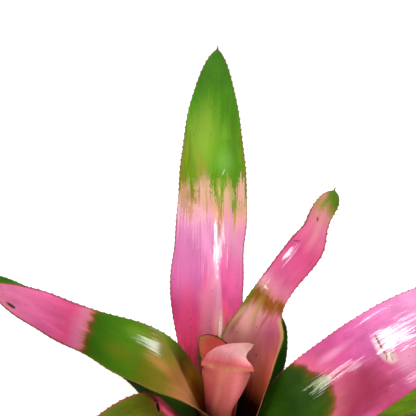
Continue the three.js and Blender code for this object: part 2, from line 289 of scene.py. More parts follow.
def midrib(leaf):
    """The line of the midrib with its frame, walked in steps of a millimetre from the root."""
    azimuth = math.radians(leaf["azimuth"])
    radius = FIRST_ROOT_RADIUS + ROOT_RADIUS_STEP * leaf["order"]
    at = Vector((radius * math.cos(azimuth), radius * math.sin(azimuth), 0))
    at.z = FIRST_ROOT_HEIGHT - ROOT_HEIGHT_STEP * leaf["order"]
    even = [(0, 0), (leaf["length"], 0)]
    channel = leaf["channel"]
    if not isinstance(channel, list):
        channel = [(0, channel), (leaf["length"], channel)]
    frames = []
    for s in range(int(leaf["length"]) + 1):
        up = math.radians(smooth(leaf["rise"], s))
        tangent = Vector((math.cos(up) * math.cos(azimuth), math.cos(up) * math.sin(azimuth), math.sin(up)))
        side = Vector((math.sin(azimuth), -math.cos(azimuth), 0))
        upper = side.cross(tangent)
        lean = math.radians(smooth(leaf.get("lean", even), s))
        tangent = Matrix.Rotation(-lean, 3, upper) @ tangent
        twist = math.radians(smooth(leaf.get("twist", even), s))
        side = Matrix.Rotation(twist, 3, tangent) @ tangent.cross(upper)
        upper = side.cross(tangent)
        wrap = (1 - ease(s, *leaf["opens"])) * math.sin(up) / math.hypot(at.x, at.y)
        bend = math.cbrt(wrap**3 + (1 / smooth(channel, s)) ** 3)
        crease = math.tan(math.radians(smooth(leaf.get("fold", even), s)))
        frames.append((at.copy(), side, upper, bend, crease))
        at += tangent
    return frames


def frame_at(frames, s):
    """The frame of the midrib at any distance from the root."""
    step = min(len(frames) - 2, int(s))
    near, far = frames[step], frames[step + 1]
    share = min(1.0, s - step)
    at, side, upper = (a.lerp(b, share) for a, b in zip(near[:3], far[:3]))
    bend, crease = (a + (b - a) * share for a, b in zip(near[3:], far[3:]))
    return at, side, upper, bend, crease


def half_width(leaf, s):
    """Half the width of the blade at a distance from the root."""
    left = leaf["length"] - s
    if left < POINT_LENGTH:
        return POINT_HALF_WIDTH * left / POINT_LENGTH
    closing = (1 - math.exp(-(left - POINT_LENGTH) / leaf["taper"])) ** TIP_BLUNTNESS
    return POINT_HALF_WIDTH + (leaf["width"] / 2 - POINT_HALF_WIDTH) * closing * smooth(leaf["shape"], s)


def flat_blade(rows):
    """A flat blade with two faces, a row of points at each distance, and spines drawn out of its margins.
    X runs from -1 to 1 across the blade, and on past a margin in millimetres. Y counts rows, and Z is 0 on
    one face and 1 on the other."""
    last = len(rows) - 1
    mesh = bmesh.new()
    bmesh.ops.create_grid(mesh, x_segments=COLUMNS, y_segments=last, size=1)
    bmesh.ops.solidify(mesh, geom=mesh.faces[:], thickness=1.0)
    low = min(vert.co.z for vert in mesh.verts)
    for vert in mesh.verts:
        vert.co.y = round((vert.co.y + 1) / 2 * last)
        vert.co.z = round(vert.co.z - low)
    first = next(k for k, s in enumerate(rows) if s >= BARE_MARGIN)
    bases = []
    for face in mesh.faces:
        if any(abs(vert.co.x) < 0.99 for vert in face.verts):
            continue
        middle = face.calc_center_median()
        k = math.floor(middle.y)
        wanted = 0 if middle.x > 0 else ROWS_PER_PAIR // 2
        if first <= k < last - LAST_BARE_ROWS and (k - first) % ROWS_PER_PAIR == wanted:
            bases.append(face)
    along_share, thick_share = SPINE_TIP_SHARES
    for face in bmesh.ops.extrude_discrete_faces(mesh, faces=bases)["faces"]:
        middle = face.calc_center_median()
        for vert in face.verts:
            vert.co.x = math.copysign(1 + SPINE_LENGTH, middle.x)
            vert.co.y = middle.y + SPINE_LEAN + (vert.co.y - middle.y) * along_share
            vert.co.z = middle.z + (vert.co.z - middle.z) * thick_share
    end = [vert for vert in mesh.verts if vert.co.y == last]
    bmesh.ops.pointmerge(mesh, verts=end, merge_co=(0, last, 0.5))
    bmesh.ops.recalc_face_normals(mesh, faces=mesh.faces)
    return mesh


def leaf_rows(length, jitter):
    """The distances from the root at which a blade has rows of points, four to each pair of spines."""
    rows = [BARE_MARGIN * k / BARE_ROWS for k in range(BARE_ROWS)]
    blunt_end = length - POINT_LENGTH
    s = BARE_MARGIN
    while s < blunt_end - LAST_BARE_STRETCH:
        crowding = CROWDING * ease(s, length - CROWDED_TIP, length)
        spacing = SPINE_SPACING * jitter.uniform(*SPINE_UNEVENNESS) * (1 - crowding)
        base = min(SPINE_BASE * jitter.uniform(*SPINE_UNEVENNESS), WIDEST_BASE_SHARE * spacing)
        rows += [s, s + base, s + spacing / 2, s + spacing / 2 + base]
        s += spacing
    rows = [s for s in rows if s < blunt_end - 0.5]
    return [*rows, blunt_end, length]


def leaf_mesh(leaf):
    """Cuts a leaf out flat, gives it its thickness and spines, and bends it to its place."""
    jitter = random.Random(leaf["order"])
    length = leaf["length"]
    rows = leaf_rows(length, jitter)
    mesh = flat_blade(rows)
    blade = mesh.verts.layers.float_vector.new("blade")
    reach = mesh.verts.layers.float_vector.new("reach")
    frames = midrib(leaf)
    wave = leaf.get("wave", RIPPLE_HEIGHT)
    phase = jitter.uniform(0, math.tau)
    crease_at = leaf.get("crease_at", 0)
    for vert in mesh.verts:
        x, row, layer = vert.co
        k = min(int(row), len(rows) - 2)
        s = rows[k] + (rows[k + 1] - rows[k]) * (row - k)
        across = max(-1.0, min(1.0, x))
        beyond = abs(x) - abs(across)
        half = half_width(leaf, s)
        at, side, upper, bend, crease = frame_at(frames, s)
        # The middle surface is rolled about the midrib, and folded up along its crease.
        flat = across * half
        angle = flat * bend
        slant = math.hypot(flat - crease_at, CREASE_HALF_WIDTH)
        lift = crease * (slant - math.hypot(crease_at, CREASE_HALF_WIDTH))
        point = at + side * (math.sin(angle) / bend) + upper * ((1 - math.cos(angle)) / bend + lift)
        tilt = angle + math.atan(crease * (flat - crease_at) / slant)
        face = upper * math.cos(tilt) - side * math.sin(tilt)
        out = side * math.cos(tilt) + upper * math.sin(tilt)
        open_part = ease(s, *STILL_PART) * ease(length - s, 0, STILL_TIP)
        ripple = wave * across * abs(across) * math.sin(s / RIPPLE_LENGTH + phase + RIPPLE_SLANT * across)
        dent = DENT_DEPTH * noise.noise(Vector((flat / DENT_WIDTH, s / DENT_LENGTH, leaf["order"] * 5.0)))
        point += face * (open_part * (ripple + dent))
        thick = THICKNESS_AT_ROOT + (THICKNESS_AT_TIP - THICKNESS_AT_ROOT) * s / length
        thick += (MARGIN_THICKNESS - thick) * across**4
        point += face * (thick * (layer - 0.5)) + out * math.copysign(beyond, x)
        vert[blade] = (flat, s, layer)
        vert[reach] = (across, half - abs(flat) - beyond, length - s)
        vert.co = point * MM
    shade_smooth(mesh)
    return mesh


SOFTLY = {"interpolation_type": "SMOOTHSTEP"}
COLOURS = {"data_type": "RGBA", "output": 2}
STREAK_SWINGS = (0.8, 0.6, 1.6, 2.4)
RIB_HEIGHT = 0.35
TISSUE = {
    "Coat Roughness": 0.17,
    "Coat IOR": 1.7,
    "Specular IOR Level": 0.04,
    "Subsurface Weight": 0.12,
    "Subsurface Radius": (1.0, 0.45, 0.3),
    "Subsurface Scale": 1.2 * MM,
}


def pattern(on, across_mm, along_mm, detail=3.0, seed=0.0):
    """A cloudy grain, stretched to a size in mm across and along the blade, and different on each leaf."""
    scale = (1 / across_mm, 1 / along_mm, 0)
    place = {"Vector": on.blade, "Scale": scale, "Location": (seed, seed, on.order)}
    stretched = add(on.tree, "Mapping", place)
    grain = {"Vector": stretched, "Scale": 1.0, "Detail": detail, "Roughness": 0.55}
    return add(on.tree, "TexNoise", grain)


def blade_places(tree, order):
    """The places on a leaf that its colours are drawn by, and the grains of its tissue: mm across and along,
    the face, the share of the width, mm from the margin and from the tip."""
    blade = add(tree, "Attribute", output="Vector", attribute_name="blade")
    reach = add(tree, "Attribute", output="Vector", attribute_name="reach")
    on = SimpleNamespace(tree=tree, order=order, blade=blade)
    on.across, on.along, on.face = add(tree, "SeparateXYZ", {0: blade}).node.outputs
    on.share, on.from_margin, on.from_tip = add(tree, "SeparateXYZ", {0: reach}).node.outputs
    # Streaks follow the fibres: columns 8 and 2.5 mm wide, fine ones under a millimetre, and short dashes.
    on.wide = pattern(on, 8.0, 120.0, detail=1.0, seed=15.0)
    on.broad = pattern(on, 2.5, 60.0)
    on.fine = pattern(on, 0.9, 34.0, detail=2.0, seed=3.0)
    on.dash = pattern(on, 0.8, 3.5, seed=8.0)
    on.cloud = pattern(on, 12.0, 24.0, seed=9.0)
    on.crumb = pattern(on, 1.2, 1.2, seed=4.0)
    return on


def sway(tree, value, grain, swing):
    """Moves a value to and fro with a grain, by up to half a swing."""
    centred = add(tree, "Math", {0: grain, 1: 0.5}, operation="SUBTRACT")
    moved = add(tree, "Math", {0: centred, 1: swing}, operation="MULTIPLY")
    return add(tree, "Math", {0: value, 1: moved}, operation="ADD")


def spot(on, place, grain, swing, outer, inner, strength):
    """Where a spot lies on the blade: from nothing at its outer edge to full strength at its inner one, as
    shares of its half sizes, with the edge frayed by a grain."""
    along_mm, across_mm, half_along, half_across, turn = place
    frame = {
        "Vector": on.blade,
        "Location": (across_mm, along_mm, 0),
        "Rotation": (0, 0, math.radians(turn)),
        "Scale": (half_across, half_along, 1000.0),
    }
    inside = add(on.tree, "Mapping", frame, vector_type="TEXTURE")
    away = add(on.tree, "VectorMath", {0: inside}, output="Value", operation="LENGTH")
    away = sway(on.tree, away, grain, swing)
    return add(on.tree, "MapRange", {0: away, 1: outer, 2: inner, 4: strength}, **SOFTLY)


def banded(on, length, bands, ragged, divide, bow, wander, pale, tone):
    """The bands of colour along the two halves of a blade, with ragged borders."""
    tree = on.tree
    run = sway(tree, 0.0, on.cloud, wander)
    wide = add(tree, "MapRange", {0: on.wide, 1: 0.42, 2: 0.58}, **SOFTLY)
    broad = add(tree, "MapRange", {0: on.broad, 1: 0.42, 2: 0.58}, **SOFTLY)
    for streaks, swing in zip((wide, broad, on.fine, on.dash), STREAK_SWINGS):
        run = sway(tree, run, streaks, swing * ragged)
    if bow:
        left, right, end = bow
        squared = add(tree, "Math", {0: on.share, 1: on.share}, operation="MULTIPLY")
        early = add(tree, "MapRange", {0: on.share, 1: -0.05, 2: 0.05, 3: left, 4: right}, **SOFTLY)
        until = add(tree, "MapRange", {0: on.along, 1: end + 20, 2: end - 20}, **SOFTLY)
        bent = add(tree, "Math", {0: squared, 1: early}, operation="MULTIPLY")
        bent = add(tree, "Math", {0: bent, 1: until}, operation="MULTIPLY")
        run = add(tree, "Math", {0: run, 1: bent}, operation="ADD")
    place = add(tree, "Math", {0: on.along, 1: run}, operation="ADD")
    place = add(tree, "Math", {0: place, 1: length}, operation="DIVIDE")
    halves = []
    for which in (1, 2):
        ramp = add(tree, "ValToRGB", {0: place})
        stops = ramp.node.color_ramp.elements
        for k, band in enumerate(bands):
            stop = stops[k] if k < 2 else stops.new(1.0)
            stop.position = band[0] / length
            stop.color = colour(band[which], tone)
        halves.append(ramp)
    start, slope, softness = divide
    line = add(tree, "Math", {0: on.along, 1: slope}, operation="MULTIPLY")
    line = add(tree, "Math", {0: line, 1: start}, operation="ADD")
    toward = add(tree, "Math", {0: on.across, 1: line}, operation="SUBTRACT")
    toward = sway(tree, toward, on.broad, softness * 0.6)
    # A paler strip left of the line where the halves meet: partly paler tissue along the crease, partly
    # painted sheen.
    if pale:
        hue, width, first, last, share = pale
        strip = sway(tree, toward, on.fine, 0.9 * width)
        strip = add(tree, "MapRange", {0: strip, 1: -width, 2: 0.0, 4: share}, **SOFTLY)
        after = add(tree, "MapRange", {0: on.along, 1: first, 2: first + 20}, **SOFTLY)
        before = add(tree, "MapRange", {0: on.along, 1: last, 2: last - 44}, **SOFTLY)
        strip = add(tree, "Math", {0: strip, 1: after}, operation="MULTIPLY")
        strip = add(tree, "Math", {0: strip, 1: before}, operation="MULTIPLY")
        halves[0] = add(tree, "Mix", {0: strip, 6: halves[0], 7: colour(hue, tone)}, **COLOURS)
    right_half = add(tree, "MapRange", {0: toward, 1: -softness, 2: softness}, **SOFTLY)
    return add(tree, "Mix", {0: right_half, 6: halves[0], 7: halves[1]}, **COLOURS)


def mottled(on, body, mottle):
    """Tissue is never even: it is paler and darker in clouds and along single fibres."""
    for grain, dark, light in ((on.cloud, 1 - mottle * 1.6, 1 + mottle), (on.fine, 0.93, 1.06)):
        shade = add(on.tree, "MapRange", {0: grain, 1: 0.3, 2: 0.7, 3: dark, 4: light})
        body = add(on.tree, "Mix", {0: 1.0, 6: body, 7: shade}, blend_type="MULTIPLY", **COLOURS)
    return body


def rimmed(on, body, rim, tone):
    """Strips of another colour along a stretch of a margin."""
    tree = on.tree
    for hue, width, first, last, side, share in rim:
        inner = sway(tree, on.from_margin, on.fine, width)
        near = add(tree, "MapRange", {0: inner, 1: width, 2: width * 0.3}, **SOFTLY)
        after = add(tree, "MapRange", {0: on.along, 1: first - 6, 2: first + 6}, **SOFTLY)
        before = add(tree, "MapRange", {0: on.along, 1: last + 6, 2: last - 6}, **SOFTLY)
        near = add(tree, "Math", {0: near, 1: after}, operation="MULTIPLY")
        near = add(tree, "Math", {0: near, 1: before}, operation="MULTIPLY")
        if side:
            toward = add(tree, "Math", {0: on.share, 1: side}, operation="MULTIPLY")
            this_half = add(tree, "MapRange", {0: toward, 1: -0.1, 2: 0.1}, **SOFTLY)
            near = add(tree, "Math", {0: near, 1: this_half}, operation="MULTIPLY")
        near = add(tree, "Math", {0: near, 1: share}, operation="MULTIPLY")
        body = add(tree, "Mix", {0: near, 6: body, 7: colour(hue, tone)}, **COLOURS)
    return body


def stained(on, body, marks, grain, swing, outer, inner, tone):
    """Spots of other colours, each laid over the last: stains, scars and blemishes of the tissue, and also
    painted highlights, glints and painted shade.
    """
    for *place, hue, share in marks:
        stain = spot(on, place, grain, swing, outer, inner, share)
        body = add(on.tree, "Mix", {0: stain, 6: body, 7: colour(hue, tone)}, **COLOURS)
    return body


def specked(on, body, specks):
    """Small dead specks, on a share of the cells of a scatter about 13 mm apart."""
    tree = on.tree
    scatter = {"Vector": on.blade, "Scale": 0.075}
    cells = add(tree, "TexVoronoi", scatter, voronoi_dimensions="2D").node.outputs
    draw = add(tree, "SeparateColor", {0: cells["Color"]})
    chosen = add(tree, "Math", {0: draw, 1: 1 - specks}, operation="GREATER_THAN")
    speck = add(tree, "MapRange", {0: cells["Distance"], 1: 0.05, 2: 0.02}, **SOFTLY)
    speck = add(tree, "Math", {0: speck, 1: chosen}, operation="MULTIPLY")
    speck = add(tree, "Math", {0: speck, 1: 0.7}, operation="MULTIPLY")
    return add(tree, "Mix", {0: speck, 6: body, 7: colour("#4a2014")}, **COLOURS)


def dusted_below(on, body, under, under_share, scaly, tone):
    """The lower face is paler and greyer, dusted with scales in faint cross bands."""
    tree = on.tree
    dust = pattern(on, 9.0, 4.0, seed=5.0)
    scurf = add(tree, "MapRange", {0: dust, 1: 0.35, 2: 0.65, 3: 1 - scaly, 4: 1 + 0.6 * scaly})
    below = add(tree, "Mix", {0: under_share, 6: body, 7: colour(under, tone)}, **COLOURS)
    below = add(tree, "Mix", {0: 1.0, 6: below, 7: scurf}, blend_type="MULTIPLY", **COLOURS)
    lower_face = add(tree, "MapRange", {0: on.face, 1: 0.6, 2: 0.4}, **SOFTLY)
    return add(tree, "Mix", {0: lower_face, 6: body, 7: below}, **COLOURS)


def dried_edges(on, body, margin, tone):
    """The margin with its spines and the point of the leaf are dry and brown."""
    tree = on.tree
    frayed = add(tree, "Math", {0: on.fine, 1: 0.5}, operation="MULTIPLY")
    frayed = add(tree, "Math", {0: on.from_margin, 1: frayed}, operation="ADD")
    edge = add(tree, "MapRange", {0: frayed, 1: 0.75, 2: 0.3, 4: 0.8}, **SOFTLY)
    body = add(tree, "Mix", {0: edge, 6: body, 7: colour(margin, tone)}, **COLOURS)
    tip = add(tree, "MapRange", {0: on.from_tip, 1: 5.0, 2: 1.5, 4: 0.7}, **SOFTLY)
    return add(tree, "Mix", {0: tip, 6: body, 7: colour("#6d5a2a")}, **COLOURS)


def wax_over(on, shader, rubbed):
    """A satin surface with fine ribs along the blade, and a clear glossy coat of wax where it is smooth."""
    tree = on.tree
    ribs = pattern(on, 1.1, 45.0, detail=2.0, seed=1.0)
    swell = pattern(on, 3.4, 50.0, detail=2.0, seed=6.0)
    swell = add(tree, "Math", {0: swell, 1: 2.0}, operation="MULTIPLY")
    relief = add(tree, "Math", {0: ribs, 1: swell}, operation="ADD")
    for strength, normal in ((0.2, "Normal"), (0.5, "Coat Normal")):
        bump = add(tree, "Bump", {"Strength": strength, "Distance": RIB_HEIGHT * MM, "Height": relief})
        tree.links.new(bump, shader.inputs[normal])
    satin = add(tree, "MapRange", {0: on.fine, 1: 0.3, 2: 0.7, 3: 0.4, 4: 0.56})
    tree.links.new(satin, shader.inputs["Roughness"])
    wax = 0.0
    for *place, share in rubbed:
        gloss = spot(on, place, on.fine, 7.0, 1.2, 0.7, share)
        wax = add(tree, "Math", {0: wax, 1: gloss}, operation="MAXIMUM")
    if rubbed:
        tree.links.new(wax, shader.inputs["Coat Weight"])
    for name, value in TISSUE.items():
        shader.inputs[name].default_value = value


def leaf_skin(
    leaf, bands, ragged, divide=(0.0, 0.0, 14.0), bow=None, wander=0.0, pale=None, margin="#7c3a1e", rim=(),
    under="#8f9a6a", under_share=0.42, scaly=0.2, mottle=0.1, tone=0.6, rubbed=(), blushes=(), patches=(),
    scars=(), specks=0.2,
):
    """The skin of one leaf: living leaf tissue under a thin wax, satin, and glossy where the wax is
    smooth, with fine ribs along the blade that break every highlight into streaks. bands holds the distance
    from the root in mm with the colour on the left and on the right of the blade, seen with the tip up, and
    ragged how far in mm the bands run into each other along the fibres. The two colours meet at divide: the
    place across at the root, its slope along the leaf, and the softness in mm. bow is how much earlier the
    bands come at the left and right margins, and where that ends, and wander how far they stray in clouds.
    pale is a strip on the left of the line where the two halves meet, paler partly in the tissue along the
    crease and partly as painted sheen. tone darkens every colour but those of dead tissue. A rim or a spot is
    placed in mm along and across the blade: blushes are soft, patches frayed along the fibres, and scars
    crisp. Besides stains, scars and blemishes, some of these spots are painted highlights, glints, sheen,
    painted light and painted shade. rubbed holds the places where the wax is smooth."""
    skin = bpy.data.materials.new("waxy leaf " + leaf["name"])
    skin.use_nodes = True
    tree = skin.node_tree
    shader = tree.nodes["Principled BSDF"]
    on = blade_places(tree, leaf["order"])
    body = banded(on, leaf["length"], bands, ragged, divide, bow, wander, pale, tone)
    body = mottled(on, body, mottle)
    body = rimmed(on, body, rim, tone)
    body = stained(on, body, blushes, on.cloud, 1.0, 1.5, 0.1, tone)
    long_streaks = add(tree, "Math", {0: on.fine, 1: 0.6}, operation="MULTIPLY")
    short_streaks = add(tree, "Math", {0: on.dash, 1: 0.4}, operation="MULTIPLY")
    streaks = add(tree, "Math", {0: long_streaks, 1: short_streaks}, operation="ADD")
    body = stained(on, body, patches, streaks, 6.0, 1.2, 0.7, tone)
    body = specked(on, body, specks)
    body = stained(on, body, scars, on.crumb, 1.5, 1.15, 0.8, tone)
    body = dusted_below(on, body, under, under_share, scaly, tone)
    body = dried_edges(on, body, margin, tone)
    tree.links.new(body, shader.inputs["Base Color"])
    wax_over(on, shader, rubbed)
    return skin


def add_leaf(leaf, slot, **look):
    make_piece(leaf["name"], leaf_mesh(leaf), leaf_skin(leaf, **look), slot, leaf["node"])


add_leaf(
    dict(
        name="upright_leaf", node="leaf_06", order=5, azimuth=95, length=338, width=56, taper=54,
        opens=(50, 120), channel=90, crease_at=6,
        shape=[(0, 0.4), (40, 0.75), (80, 0.87), (130, 1.12), (180, 1.06), (230, 1.06), (338, 0.95)],
        rise=[(0, 66), (50, 57), (90, 73), (150, 83), (338, 83.5)],
        lean=[(0, 0), (40, -10), (100, 3.5), (200, -0.5), (260, 1), (338, 6.2)],
        twist=[(0, 0), (60, 0), (100, -12), (140, -26), (180, -22), (230, -4), (338, -4)],
        fold=[(0, 0), (70, 6), (100, 12), (140, 20), (170, 20), (230, 8), (338, 4)],
    ),
    "young_leaf",
    bands=[
        # The near-black colour at the root, darkening the bands up to 60 mm, is painted shade deep in the
        # heart.
        (0, "#230704", "#310c06"), (60, "#4c2310", "#973e3d"), (84, "#cd3d5d", "#ac4740"),
        (98, "#f04674", "#da6372"), (110, "#eb487b", "#f46c80"), (122, "#d23f7d", "#ff5c9f"),
        (139, "#c4538d", "#e35f98"), (155, "#bd5d94", "#d9639b"), (172, "#bb6092", "#d974a2"),
        (186, "#c679a1", "#ce8daa"), (196, "#d28dac", "#d28d9e"), (206, "#d297a2", "#d29789"),
        (213, "#cf9b86", "#cb9774"), (220, "#c1977b", "#b69b71"), (225, "#90742f", "#717b1d"),
        (231, "#626f0b", "#4a7f09"), (244, "#627c10", "#55890d"), (266, "#6a8d24", "#5f8d1d"),
        (290, "#337707", "#457810"), (314, "#346e0d", "#396613"), (338, "#406d21", "#3b681f"),
    ],
    ragged=13,
    divide=(24.5, -0.125, 1.4),
    # The pale strip beside the crease is partly paler tissue and partly painted sheen.
    pale=("#ffbcd4", 17.0, 90, 188, 0.65),
    margin="#68451c",
    tone=0.83,
    rim=[("#716d15", 3.6, 224, 270, 0, 0.8), ("#86313d", 1.2, 60, 200, 0, 0.4)],
    rubbed=[(171, 4.4, 9, 4.4, 0, 1.0), (183, 1.8, 9, 1.3, 0, 1.0), (157, 3.8, 9, 1.8, 0, 1.0)],
    blushes=[
        (160, -20, 50, 8.0, 0, "#dc8dba", 0.25), (112, -20, 22, 9.0, 0, "#d94b7b", 0.5),
        (262, -7.0, 34, 9.0, 0, "#84a034", 0.6), (268, 18.0, 44, 7.0, 0, "#396306", 0.6),
        # The pale green blush at 245 mm is a painted sheen on the green part.
        (245, 9.0, 11, 7.0, 0, "#7faf52", 0.35), (236, -17.0, 12, 5.0, 0, "#558209", 0.7),
        (180, 12.0, 16, 4.0, 0, "#dc90b3", 0.5), (186, 24.0, 16, 5.0, 0, "#d982ac", 0.8),
        # The light peach blush at 106 mm by the crease is partly paler tissue and partly painted sheen.
        (106, 5.0, 14, 3.6, 0, "#fcc0a8", 0.6), (119, -3.0, 26, 7.0, 0, "#f08ca8", 0.8),
        (178, -5.5, 14, 4.5, 0, "#e09cc0", 0.6),
        # The dark olive blush at 76 mm is partly the leaf's olive colour and partly painted shade low in the
        # heart.
        (76, -7.0, 11, 5.0, 0, "#503e10", 0.9),
    ],
    patches=[
        (227, 7.0, 6, 4.5, 0, "#738c28", 0.7), (218, -16.5, 5.5, 3.6, 0, "#786d1a", 0.7),
        (205, -17.5, 8, 2.2, 0, "#af7f4b", 0.7), (226, -8.0, 9, 5.0, 0, "#c89b86", 0.8),
        (238, -8.5, 9, 5.0, 0, "#907f2b", 0.45), (214, 5.5, 9, 3.0, 0, "#71861d", 0.8),
        (203, 5.8, 8, 1.6, 0, "#90782f", 0.85), (190, 4.4, 10, 1.3, 0, "#a27444", 0.8),
        (210, 17.0, 9, 1.8, 0, "#5c7f13", 0.9), (200, 17.5, 7, 1.4, 0, "#a57f3d", 0.7),
        (222, 23.0, 10, 3.2, 0, "#cf9789", 0.9), (219, 13.0, 8, 3.0, 0, "#92954a", 0.6),
        (210, -5.0, 9, 1.0, 0, "#9e8244", 0.6),
        (216, -10.5, 8, 1.0, 0, "#907b39", 0.6), (216, -22.5, 13, 4.0, 0, "#9c7c4a", 0.7),
        (214, 11.0, 7, 2.0, 0, "#c49e82", 0.7),
        # These four pale marks along the crease are painted highlights: the crease highlight, its right arm,
        # a thin line beside it and cream streaks near the bottom.
        (172, 4.4, 9, 2.8, 0, "#dccfd6", 0.7), (184, 8.0, 8, 1.1, 0, "#dccfd6", 0.8),
        (168, 12.4, 8, 0.5, 0, "#dcbdcb", 0.8), (102, 8.6, 10, 1.4, 0, "#ffecd0", 0.9),
    ],
    scars=[
        (283, -20.4, 1.0, 0.8, 0, "#c8c4ba", 0.9), (236.5, 8.7, 2.4, 0.35, -20, "#bdcbac", 0.75),
        # These two pale dashes below the crease highlight are painted glints.
        (147, 3.8, 2.0, 0.5, 0, "#dccfd6", 0.9), (155, 3.7, 1.6, 0.4, 0, "#dccfd6", 0.9),
    ],
)


# The broad leaf on the right. The same kind of blade, rolled so that its face turns to the front, dark green
# at its base and pink from a brown fringe on. A dry scratch and a scab cross the middle of its face.
add_leaf(
    dict(
        name="broad_right_leaf", node="leaf_05", order=4, azimuth=350, length=285, width=72, taper=46,
        opens=(30, 80), channel=130,
        shape=[(0, 0.3), (20, 0.45), (50, 0.8), (80, 0.95), (120, 1), (285, 1)],
        rise=[(0, 70), (25, 52), (60, 42), (100, 46), (150, 45), (200, 37), (285, 24)],
        twist=[(0, 0), (25, 5), (80, 55), (285, 60)],
    ),
    "young_leaf",
    bands=[
        # The near-black colour at the root is painted shade deep in the heart.
        (0, "#060c04", "#060c04"), (48, "#3d690d", "#1c3406"), (70, "#26480a", "#294a08"),
        (94, "#2c4c08", "#36580a"), (101, "#44520a", "#50560c"), (106, "#7d4a18", "#8a5820"),
        (111, "#e4688c", "#cc6478"), (135, "#d65595", "#ac3654"), (160, "#ee78ba", "#d05888"),
        (177, "#f488c4", "#e878a8"), (200, "#f8a0d4", "#e080b0"), (232, "#e08aa8", "#cf7898"),
        (246, "#8a8a2c", "#8a7a2c"), (262, "#4f8a18", "#4a7f16"), (285, "#3f7a1e", "#3a6a1c"),
    ],
    ragged=1.4,
    bow=(15.0, 55.0, 130.0),
    wander=18.0,
    divide=(-2.0, 0.0, 12.0),
    margin="#b02c50",
    mottle=0.14,
    tone=0.56,
    rubbed=[
        (169, -12.5, 7, 4.0, 0, 1.0), (168, -3.5, 6.5, 4.0, 0, 1.0), (182, -6.5, 12, 7.0, 0, 1.0),
        (103, -9.0, 10, 4.6, 0, 0.8), (132, -5.5, 9, 3.0, 0, 0.45), (118, -5.0, 12, 0.8, 0, 0.6),
        (162, -29.0, 14, 0.9, 0, 0.7), (172, 22.0, 9, 6.0, 0, 0.8), (117, -10.5, 12, 1.0, 0, 0.8),
    ],
    # This pale green patch is a painted highlight on the fan of glints over the green base.
    patches=[(102, -9.0, 10, 3.8, 0, "#c4cc94", 0.45)],
    blushes=[
        # The light pink blush at 125 mm near the upper margin is a painted soft highlight.
        (130, 14.0, 22, 14.0, 0, "#a83458", 0.6), (125, -22.0, 16, 3.4, 0, "#fca8d0", 0.6),
        (158.6, -6.5, 2.4, 9.0, -7, "#ffdcec", 0.7), (163, 4.5, 5.0, 5.0, 0, "#ffece0", 0.9),
        # The two palest blushes, at 174 and 172 mm, are the painted white highlight patch beside the scratch
        # and a softer painted highlight next to it.
        (174, 10.0, 12, 9.0, 0, "#f8b0cc", 0.6),
        (172, -8.0, 11, 6.5, 0, "#fff0fa", 0.7),
    ],
    scars=[
        (161.2, -7.5, 0.9, 8.2, -7, "#7c5828", 1.0), (160.4, 2.4, 0.6, 3.0, -28, "#8c6834", 0.9),
        (164.4, 5.0, 1.9, 2.3, 20, "#c8b088", 0.65), (165.8, 2.8, 0.5, 1.9, 60, "#8c6834", 0.6),
        (163.0, 6.6, 0.5, 1.6, -10, "#8c6834", 0.6),
    ],
)


# The leaf that arches to the left. Pink from its tip to a short ragged line, then green, with a peach base
# on its front half and a darker olive one on its back half. A dead spot lies near its tip.
add_leaf(
    dict(
        name="left_leaf", node="leaf_04", order=3, azimuth=182, length=252, width=52, taper=30,
        opens=(40, 110), channel=60,
        shape=[(0, 0.5), (30, 0.8), (60, 0.95), (120, 1.03), (165, 0.85), (200, 0.86), (252, 0.86)],
        rise=[(0, 80), (35, 76), (70, 57), (110, 33), (150, 29), (252, 35)],
        twist=[(0, 0), (60, 0), (110, -26), (170, -22), (252, -14)],
    ),
    "young_leaf",
    bands=[
        # The near-black colour at the root is painted shade deep in the heart.
        (0, "#100a02", "#280806"), (48, "#5c3c14", "#803014"), (60, "#ac7c46", "#985815"),
        (72, "#e09a64", "#b67e27"), (84, "#c88c4c", "#6c5115"), (96, "#8e8224", "#5b701a"),
        (108, "#84801c", "#748c20"), (122, "#5c7c10", "#65a82a"), (134, "#4c7c0d", "#398c07"),
        (146, "#44740d", "#20700a"), (159, "#3a6808", "#246e0d"), (163, "#704c14", "#704c18"),
        (167, "#d07878", "#cc6c78"), (171, "#dc789c", "#d46c8c"), (182, "#dc5282", "#cb447a"),
        (200, "#f06ca4", "#c82865"), (237, "#fc88b4", "#ce3f7b"), (245, "#b07a50", "#a86a50"),
        (252, "#5a7a24", "#5a7a24"),
    ],
    ragged=2.2,
    wander=8.0,
    divide=(-27.6, 0.47, 2.2),
    margin="#6c5a1c",
    mottle=0.1,
    tone=0.7,
    rim=[("#a02850", 1.6, 168, 240, 0, 0.8), ("#8c8040", 1.2, 76, 156, -1, 0.7)],
    rubbed=[(106, 16.0, 10, 6.0, -20, 1.0), (115, 14.5, 9, 4.5, 0, 1.0)],
    blushes=[
        (136, -4.0, 12, 8.0, 0, "#747414", 0.7), (84, 24.0, 30, 4.0, 0, "#58600c", 0.5),
        # The pale green blush at 126 mm is painted sheen spilling from the highlight.
        (184, -6.0, 10, 3.0, 0, "#c84868", 0.4), (126, 16.0, 12, 6.0, 0, "#a0c44c", 0.2),
        (98, 2.0, 17, 5.5, -10, "#d09450", 0.7),
    ],
    scars=[(227, -7.6, 4.0, 1.7, -8, "#40351c", 0.95), (231, -9.0, 7.0, 0.6, -12, "#b48a5c", 0.8)],
)


